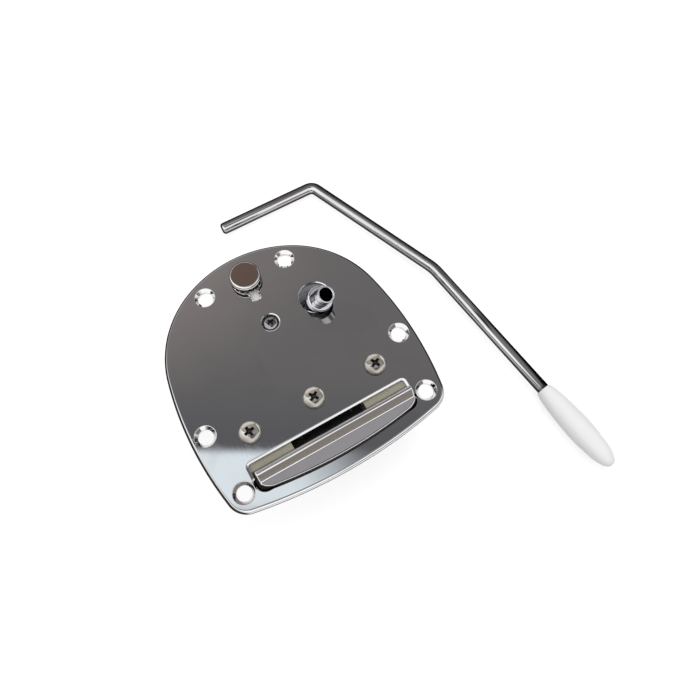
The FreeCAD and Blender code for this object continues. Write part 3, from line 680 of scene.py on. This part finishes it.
def cutCross(bm, head, top, depth):
    # two tapered slots and a pointed middle
    above, below = top + panHead["above"], top - depth
    cutters = []
    for turn in (0, 90):
        spin = Matrix.Rotation(radians(turn), 3, "Z")
        rings = []
        for z, longShare, wideShare in zip((above, below), panHead["armLong"], panHead["armWide"]):
            rings.append([spin @ Vector((sx * head * longShare, sy * head * wideShare, z))
                          for sx, sy in ((1, 1), (-1, 1), (-1, -1), (1, -1))])
        bar = bmesh.new()
        addGrid(bar, rings, closeCols=True, smooth=False)
        addFace(bar, rings[0])
        addFace(bar, rings[1])
        cutters.append(bar)
    middle = bmesh.new()
    wide, narrow = (head * share for share in panHead["middle"])
    addRevolve(middle, [(0, above), (wide, above), (narrow, below), (0, below - panHead["point"])], steps=8)
    for face in middle.faces:
        face.smooth = False
    # the recess's cut faces take the second slot: dark steel as painted shade in the recess
    for cutter in cutters + [middle]:
        for face in cutter.faces:
            face.material_index = 1
        bm = carve(bm, cutter)
    return bm


def crossHead(bm, spec, place, turn):
    # cuts the recess, then turns the screw and puts it in its place
    bm = cutCross(bm, spec["head"], spec["base"] + spec["height"], spec["height"] * panHead["recess"])
    put = Matrix.Translation((*place, 0)) @ Matrix.Rotation(radians(turn), 4, "Z")
    bmesh.ops.transform(bm, matrix=put, verts=bm.verts)
    return bm


def joinParts(parts):
    whole = bmesh.new()
    for part in parts:
        whole.from_mesh(solidMesh(part))
    return whole


def buildPivotScrews():
    shank, end, base = pivotScrew["shank"], pivotScrew["end"], pivotScrew["base"]
    cut = shank * pivotScrew["chamfer"]
    profile = [(0, end), (shank - cut, end), (shank, end + cut), (shank, base)] + headProfile(pivotScrew)
    screws = []
    for place, turn in zip(plate["bolts"], pivotScrew["turns"]):
        bm = bmesh.new()
        addRevolve(bm, profile, steps=72)
        screws.append(crossHead(bm, pivotScrew, place, turn))
    return finishPiece(joinParts(screws), "pivotScrews", [nickel, paintedShadeSteel], "base", ["pivot_screws"],
                       sharp=38)


def buildTensionScrew():
    x, y = tensionScrew["place"]
    shank, base, end, pitch = (tensionScrew[key] for key in ("shank", "base", "end", "pitch"))
    neck, neckEnd = shank * tensionScrew["neckShare"], base - tensionScrew["neck"]
    head = bmesh.new()
    addRevolve(head, [(0, neckEnd), (neck, neckEnd), (neck, base)] + headProfile(tensionScrew), steps=64)
    head = crossHead(head, tensionScrew, (x, y), tensionScrew["turn"])
    thread = bmesh.new()
    rows = []
    steps, start = tensionScrew["threadSteps"], base - tensionScrew["threadTop"]
    down = int((start - end) / pitch * tensionScrew["rowsPerTurn"])
    for i in range(down + 1):
        z = start + (end - start) * i / down
        taper = min(1, (z - end) / tensionScrew["taper"] + tensionScrew["endShare"])
        row = []
        for k in range(steps):
            a, phase = 2 * pi * k / steps, (z / pitch + k / steps) % 1
            r = (shank - tensionScrew["thread"] * abs(2 * phase - 1)) * taper
            row.append(Vector((x + r * cos(a), y + r * sin(a), z)))
        rows.append(row)
    addGrid(thread, rows, closeCols=True)
    addFace(thread, rows[0])
    addFace(thread, rows[-1])
    return finishPiece(joinParts([head, thread]), "tensionScrew", [paintedShadeChrome, paintedShadeSteel], "tension_screw",
                       ["tension_screw"], sharp=38)


buildPivotScrews()
buildTensionScrew()


# Lock knob

knob = {"place": (0.0, 95.395), "radius": 6.9, "base": 3.5, "top": 8.4, "edge": 0.9, "bore": 1.3,
        "boreTop": 6.85, "band": 1.7, "groove": 0.45, "grooveStep": 0.25, "rounds": (0.4, 0.1, 0.12, 0.12),
        "flutes": 18, "depth": 0.5, "fluteSteps": 14, "fluteShare": 0.62, "fluteFoot": 0.1, "fluteHead": 0.02,
        "fluteReach": 0.6, "topSlack": 0.001}


def buildKnob():
    bm = bmesh.new()
    x, y = knob["place"]
    r, base, top, step = knob["radius"], knob["base"], knob["top"], knob["grooveStep"]
    bead = top - knob["band"]               # smooth band above the flutes
    profile = roundedLine([(knob["bore"], base), (r, base), (r, bead), (r - knob["groove"], bead + step),
                           (r, bead + 2 * step), (r, top), (0, top)],
                          [0, *knob["rounds"], knob["edge"], 0], steps=5)
    low, high, reach = base + knob["fluteFoot"], bead - knob["fluteHead"], r - knob["fluteReach"]
    steps = knob["flutes"] * knob["fluteSteps"]
    rows = []
    for k in range(steps):
        a = 2 * pi * k / steps
        wave = abs(sin(knob["flutes"] * a / 2))
        dip = knob["depth"] * sqrt(max(0, 1 - wave / knob["fluteShare"]))
        row = []
        for p in profile:
            away = p.x - dip if low < p.y < high and p.x > reach else p.x
            row.append(Vector((x + away * cos(a), y + away * sin(a), p.y)))
        rows.append(row)
    addGrid(bm, rows, closeRows=True)
    bore = [(knob["bore"], base), (knob["bore"], knob["boreTop"]), (0, knob["boreTop"])]
    addRevolve(bm, bore, (x, y, 0), steps=steps)
    for face in bm.faces:
        if min(v.co.z for v in face.verts) > top - knob["topSlack"]:
            face.material_index = 1
            face.smooth = False
    return finishPiece(bm, "lockKnob", [knobChrome, knobTop], "lock", ["lock_button"], sharp=40)


buildKnob()


# Arm socket: leaning tube, its collar, and the tab seen behind it

socket = {"place": (22.2, 70.295, 3.0), "leanRight": 15.0, "leanFront": 19.5, "radius": 3.85, "bore": 3.05,
          "bottom": -22.0, "top": 13.1, "floor": 2.0, "mouth": 0.2, "rounds": (0.4, 0.25, 0.12, 0.12, 0.3),
          "boreSlack": 0.02, "brightMouth": 0.1}
collar = {"radius": 5.9, "bore": 3.9, "height": 3.4, "edge": 0.8, "boreRound": 0.15, "clear": 0.35}
# tab on the rear edge of the lever, seen through the hole around the socket; its zinc is painted dark as the
# shade under the plate
ear = {"left": 12.0, "right": 31.0, "front": 81.97, "rear": 87.9, "top": -8.0, "sheet": 2.0, "corner": 2.0,
       "leverCorner": 5.01, "leverTurn": 70}
socketAxis = Vector((tan(radians(socket["leanRight"])), -tan(radians(socket["leanFront"])), 1)).normalized()


def buildSocket():
    bm = bmesh.new()
    r, bore, top, bottom, mouth = (socket[key] for key in ("radius", "bore", "top", "bottom", "mouth"))
    floor = bottom + socket["floor"]
    line = [(0, bottom), (r, bottom), (r, top), (bore + mouth, top), (bore, top - mouth), (bore, floor),
            (0, floor)]
    profile = roundedLine(line, [0, *socket["rounds"], 0], steps=5)
    # painted shade: the bore below a bright band at its mouth takes the dark steel
    dark = top - mouth - socket["brightMouth"]
    inner = [j for j, p in enumerate(profile) if p.x < bore + socket["boreSlack"] and p.y < dark]
    addRevolve(bm, profile, socket["place"], socketAxis, steps=72, darkCols=inner)
    return finishPiece(bm, "armSocket", [paintedLightChrome, paintedShadeSteel], "string_plate", ["arm_socket"])


def buildCollar():
    bm = bmesh.new()
    r, bore, edge = collar["radius"], collar["bore"], collar["edge"]
    drop = r * sqrt(1 - socketAxis.z ** 2)          # how far its low side hangs; that side clears the plate
    low = (collar["clear"] + drop) / socketAxis.z
    top = low + collar["height"]
    profile = roundedLine([(bore, low), (r, low), (r, top), (bore, top), (bore, low)],
                          [0, edge, edge, collar["boreRound"], 0], steps=8)
    addRevolve(bm, profile, socket["place"], socketAxis, steps=72)
    return finishPiece(bm, "socketCollar", [collarChrome], "string_plate", ["socket_collar"], sharp=40)


def buildEar():
    bm = bmesh.new()
    left, right, front, rear, bend = (ear[key] for key in ("left", "right", "front", "rear", "leverCorner"))
    turns = [radians(a) for a in range(0, ear["leverTurn"] + 1, 10)]
    seat = [(right - bend + bend * sin(a), front - bend + bend * cos(a)) for a in turns]
    loop = roundedLine([(left, front)] + seat + [(right, rear), (left, rear)],
                       [0] + [0] * len(seat) + [ear["corner"]] * 2, closed=True)
    rows = [[p.to_3d() + Vector((0, 0, z)) for p in loop] for z in (ear["top"] - ear["sheet"], ear["top"])]
    addGrid(bm, rows, closeCols=True, smooth=False)
    addFace(bm, rows[0])
    addFace(bm, rows[1])
    return finishPiece(bm, "leverEar", [paintedShadeZinc], "string_plate", [])


buildSocket()
buildCollar()
buildEar()


# Tremolo arm and its tip

arm = {"radius": 3.0, "start": (5.4, 145.4), "short": 54.4, "middle": 80.9, "long": 81.4, "inTip": 24.0,
       "turns": (68.2, 15.0), "bends": (4.6, 24.0), "endRound": 1.6, "floor": -31.5}
tip = {"length": 45.0, "belly": 6.0, "bellyAt": 24.0, "hole": 3.0, "sideSteps": 10, "noseSteps": 12,
       "nosePower": 0.9,
       "side": [(0.0, 3.6, 0.4), (3.0, 4.45, 0.2), (8.5, 5.2, 0.085), (24.0, 6.0, 0.0), (34.0, 5.32, -0.11),
                (38.5, 4.7, -0.18)]}            # distance, radius, slope


def armFrame():
    # places along the arm, the tip's direction, and the small tilt that rests the tip on the floor
    first = -radians(arm["turns"][0])
    second = first - radians(arm["turns"][1])
    start = Vector((*arm["start"], arm["floor"] + arm["radius"]))
    bend = start + Vector((arm["short"], 0, 0))
    elbow = bend + Vector((cos(first), sin(first), 0)) * arm["middle"]
    way = Vector((cos(second), sin(second), 0))
    tipStart = elbow + way * arm["long"]
    belly = tipStart + way * tip["bellyAt"]
    tilt = -asin((tip["belly"] - arm["radius"]) / (arm["start"][1] - belly.y))
    lean = Matrix.Translation(start) @ Matrix.Rotation(tilt, 4, "X") @ Matrix.Translation(-start)
    return start, bend, elbow, tipStart, way, lean


def buildArm():
    bm = bmesh.new()
    start, bend, elbow, tipStart, way, lean = armFrame()
    flat = [Vector((p.x, p.y)) for p in (start, bend, elbow, tipStart + way * arm["inTip"])]
    line = roundedLine(flat, [0, arm["bends"][0], arm["bends"][1], 0], steps=18)
    path = [p.to_3d() + Vector((0, 0, start.z)) for p in line]
    r, nose = arm["radius"], arm["endRound"]
    ahead = (path[1] - path[0]).normalized()
    caps = [(nose * (1 - cos(radians(a))), r - nose + nose * sin(radians(a))) for a in range(0, 91, 15)]
    front = [(path[0] + ahead * step, size) for step, size in [(0, 0.0)] + caps]
    rest = [(p, r) for p in path[1:]] + [(path[-1], 0.0)]
    addBar(bm, [p for p, size in front + rest], [size for p, size in front + rest])
    bmesh.ops.transform(bm, matrix=lean, verts=bm.verts)
    return finishPiece(bm, "tremoloArm", [armSteel], "arm", ["tremolo_arm"])


def buildTip():
    bm = bmesh.new()
    tipStart, way, lean = armFrame()[-3:]
    hole, steps = tip["hole"], tip["sideSteps"]
    profile = [Vector((hole, 0))]
    for (z0, r0, m0), (z1, r1, m1) in zip(tip["side"], tip["side"][1:]):        # cubic curves along the side
        span = z1 - z0
        for k in range(steps):
            t = k / steps
            r = ((2 * t ** 3 - 3 * t ** 2 + 1) * r0 + (t ** 3 - 2 * t ** 2 + t) * span * m0
                 + (3 * t ** 2 - 2 * t ** 3) * r1 + (t ** 3 - t ** 2) * span * m1)
            profile.append(Vector((r, z0 + span * t)))
    z1, r1, m1 = tip["side"][-1]
    nose, steps = tip["length"] - z1, tip["noseSteps"]
    for k in range(steps):                  # nose: part of an ellipse that carries on from the side
        a = radians(90 * k / steps)
        r = (r1 + m1 * nose * sin(a) * cos(a)) * cos(a) ** tip["nosePower"]
        profile.append(Vector((r, z1 + nose * sin(a))))
    deep = arm["inTip"]
    profile += [Vector(p) for p in ((0, tip["length"]), (0, deep), (hole, deep), (hole, 0))]
    addRevolve(bm, profile, tipStart, way, steps=64)
    bmesh.ops.transform(bm, matrix=lean, verts=bm.verts)
    return finishPiece(bm, "armTip", [whitePlastic], "arm", ["arm_tip"], sharp=50)


buildArm()
buildTip()


# Coil spring

coil = {"wire": 1.5, "radius": 6.3, "turns": 3.5, "top": -13.42, "length": 13.16, "keep": 0.5,
        "place": (0.0, 71.595), "turnSteps": 48, "wireSteps": 16}


def buildSpring():
    bm = bmesh.new()
    x, y = coil["place"]
    half = coil["wire"] / 2
    top, drop = coil["top"] - half, coil["length"] - coil["wire"]
    steps = int(coil["turns"] * coil["turnSteps"])
    around = [2 * pi * k / coil["wireSteps"] for k in range(coil["wireSteps"])]
    rows = []
    for i in range(steps + 1):
        turn = coil["turns"] * i / steps
        a = 2 * pi * turn
        out = Vector((cos(a), sin(a), 0))
        middle = Vector((x, y, top - drop * i / steps)) + out * coil["radius"]
        rows.append([middle + out * (half * cos(b)) + Vector((0, 0, half * sin(b))) for b in around])
    addGrid(bm, rows, closeCols=True)
    addFace(bm, rows[0])
    addFace(bm, rows[-1])
    piece = finishPiece(bm, "mainSpring", [springSteel], "base", ["main_spring"], sharp=50)
    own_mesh(piece)
    return piece


buildSpring()


# Plain solids that are shown as they are

# the lever plate and the socket seat are zinc painted in shade, the rivets dark steel as painted shade, and
# the lock plate zinc painted light
plainSolids = {
    "fulcrum_plate": yellowZinc, "pivot_washers": paleZinc, "pivot_nuts": paleZinc, "spring_cradle": paleZinc,
    "spring_seat": paleZinc, "lever_plate": paintedShadeZinc, "lip_rivets": paintedShadeSteel, "socket_seat": paintedShadeZinc,
    "screw_bush": paleZinc, "socket_wedge": paleZinc, "socket_washer": paleZinc, "socket_nut": paleZinc,
    "spring_nut": paleZinc, "lock_neck": paleZinc, "lock_plate": paintedLightZinc, "lock_screw": paleZinc,
    "lock_washer": chrome,
}
for name, material in plainSolids.items():
    shown = bpy.data.objects[name]
    shown.data.materials.clear()
    shown.data.materials.append(material)
print("plain solids", len(plainSolids))


# Stage: pale floor, studio surroundings, lamp and camera

view = {"azimuth": -31.85, "elevation": 69.24, "roll": 2.0, "distance": 0.2598,
        "target": (0.0239, 0.0429, 0.003), "focalPixels": 600.0, "pictureWidth": 700.0, "sensorWidth": 36.0,
        "clipStart": 0.01}
ground = {"half": 3, "gap": 0.0002, "tone": 0.4, "glow": 0.7}
keyLamp = {"place": (0.3, 0.35, 0.95), "aim": (0.03, 0.04, 0), "size": 0.8, "power": 6.0}
studio = {
    "directions": {"height": (0, 0, 1), "across": (1, 0, 0), "depth": (0, 1, 0), "left": (-0.95, -0.31, 0),
                   "front": (0.25, -0.97, 0), "slant": (0.48, 0.88, 0)},     # slant: away from the camera
    "backdrop": (0.118, 0.118, 0.128),
    # each layer covers those before it: colour, and edges along a direction from clear to full
    "layers": {
        "far": ((0.158, 0.154, 0.154), [("slant", 0.2, 0.34)]),
        "warm": ((0.275, 0.248, 0.24), [("depth", 0.34, 0.56), ("across", 0.42, -0.05)]),
        "low": ((0.03, 0.03, 0.032), [("height", 0.5, 0.08)]),
        "ceiling": ((0.34, 0.33, 0.35), [("depth", 0.12, 0.05), ("height", 0.6, 0.85)]),
        "strip": ((0.86, 0.95, 1.0), [("slant", 0.07, 0.12), ("slant", 0.203, 0.187), ("across", 0.16, -0.02),
                                      ("height", 0.5, 0.7)]),
        "rear": ((0.56, 0.55, 0.55), [("depth", 0.6, 0.75), ("height", 0.12, 0.2), ("height", 0.74, 0.66)]),
        "lowFront": ((0.25, 0.225, 0.205), [("front", 0.3, 0.42), ("height", -0.08, 0.0),
                                            ("height", 0.62, 0.54)]),
        "viewer": ((0.05, 0.05, 0.052), [("depth", -0.13, -0.18), ("height", 0.9, 0.93)]),
        "frontBox": ((1.1, 1.1, 1.12), [("front", 0.3, 0.42), ("height", 0.44, 0.5), ("height", 0.93, 0.9)]),
        "leftBox": ((1.2, 1.2, 1.2), [("left", 0.2, 0.28), ("height", 0.2, 0.28), ("height", 0.985, 0.96)]),
        "rightBox": ((1.0, 1.0, 1.02), [("across", 0.72, 0.8), ("height", 0.22, 0.3), ("height", 0.56, 0.5)]),
    },
}


def buildCamera():
    az, el, roll = (radians(view[key]) for key in ("azimuth", "elevation", "roll"))
    back = Vector((sin(az) * cos(el), -cos(az) * cos(el), sin(el)))
    right = Vector((cos(az), sin(az), 0))
    up = back.cross(right)
    across = right * cos(roll) + up * sin(roll)
    upward = up * cos(roll) - right * sin(roll)
    data = bpy.data.cameras.new("camera")
    data.sensor_width = view["sensorWidth"]
    data.lens = view["focalPixels"] / view["pictureWidth"] * view["sensorWidth"]
    data.clip_start = view["clipStart"]
    camera = bpy.data.objects.new("camera", data)
    place = Matrix((across, upward, back)).transposed().to_4x4()
    place.translation = Vector(view["target"]) + back * view["distance"]
    camera.matrix_world = place
    scene.collection.objects.link(camera)
    scene.camera = camera


def buildFloor():
    # matt and grey for shadows, and glowing for rays that see it, straight or in the metal
    mesh = bpy.data.meshes.new("floor")
    z, half = cadLow.z - ground["gap"], ground["half"]
    corners = [(-half, -half, z), (half, -half, z), (half, half, z), (-half, half, z)]
    mesh.from_pydata(corners, [], [(0, 1, 2, 3)])
    floor = bpy.data.objects.new("floor", mesh)
    scene.collection.objects.link(floor)
    material, tree, shader = newMaterial("paleFloor")
    shader.inputs["Base Color"].default_value = (ground["tone"], ground["tone"], ground["tone"], 1)
    shader.inputs["Roughness"].default_value = 1.0
    shader.inputs["Specular IOR Level"].default_value = 0.0
    shader.inputs["Emission Color"].default_value = (1, 1, 1, 1)
    ray = node(tree, "ShaderNodeLightPath")
    seen = ray.outputs["Is Camera Ray"]
    for kind in ("Is Glossy Ray", "Is Transmission Ray"):
        seen = combine(tree, "MAXIMUM", seen, ray.outputs[kind])
    glow = node(tree, "ShaderNodeMapRange", To_Min=0.0, To_Max=ground["glow"])
    tree.links.new(seen, glow.inputs["Value"])
    tree.links.new(glow.outputs[0], shader.inputs["Emission Strength"])
    mesh.materials.append(material)


def buildWorld():
    world = bpy.data.worlds.new("studio")
    scene.world = world
    world.use_nodes = True
    tree = world.node_tree
    tree.nodes.clear()
    link = tree.links.new
    where = node(tree, "ShaderNodeTexCoord")
    along = {}
    for name, direction in studio["directions"].items():
        dot = node(tree, "ShaderNodeVectorMath", operation="DOT_PRODUCT")
        dot.inputs[1].default_value = direction
        link(where.outputs["Generated"], dot.inputs[0])
        along[name] = dot.outputs["Value"]
    colour = studio["backdrop"]
    for tone, edges in studio["layers"].values():
        mask = product(tree, [ramp(tree, along[name], clear, full) for name, clear, full in edges])
        colour = mixColours(tree, mask, colour, tone)
    shown = node(tree, "ShaderNodeBackground", Strength=1.0)
    link(colour, shown.inputs["Color"])
    out = node(tree, "ShaderNodeOutputWorld")
    link(shown.outputs[0], out.inputs["Surface"])


def buildLamp():
    data = bpy.data.lights.new("keyLamp", "AREA")
    data.size = keyLamp["size"]
    data.energy = keyLamp["power"]
    lamp = bpy.data.objects.new("keyLamp", data)
    lamp.location = keyLamp["place"]
    back = Vector(keyLamp["place"]) - Vector(keyLamp["aim"])
    lamp.rotation_euler = back.to_track_quat("Z", "Y").to_euler()
    lamp.visible_glossy = False
    scene.collection.objects.link(lamp)


buildCamera()
buildFloor()
buildWorld()
buildLamp()
scene.view_settings.view_transform = "Standard"
print("stage ready")
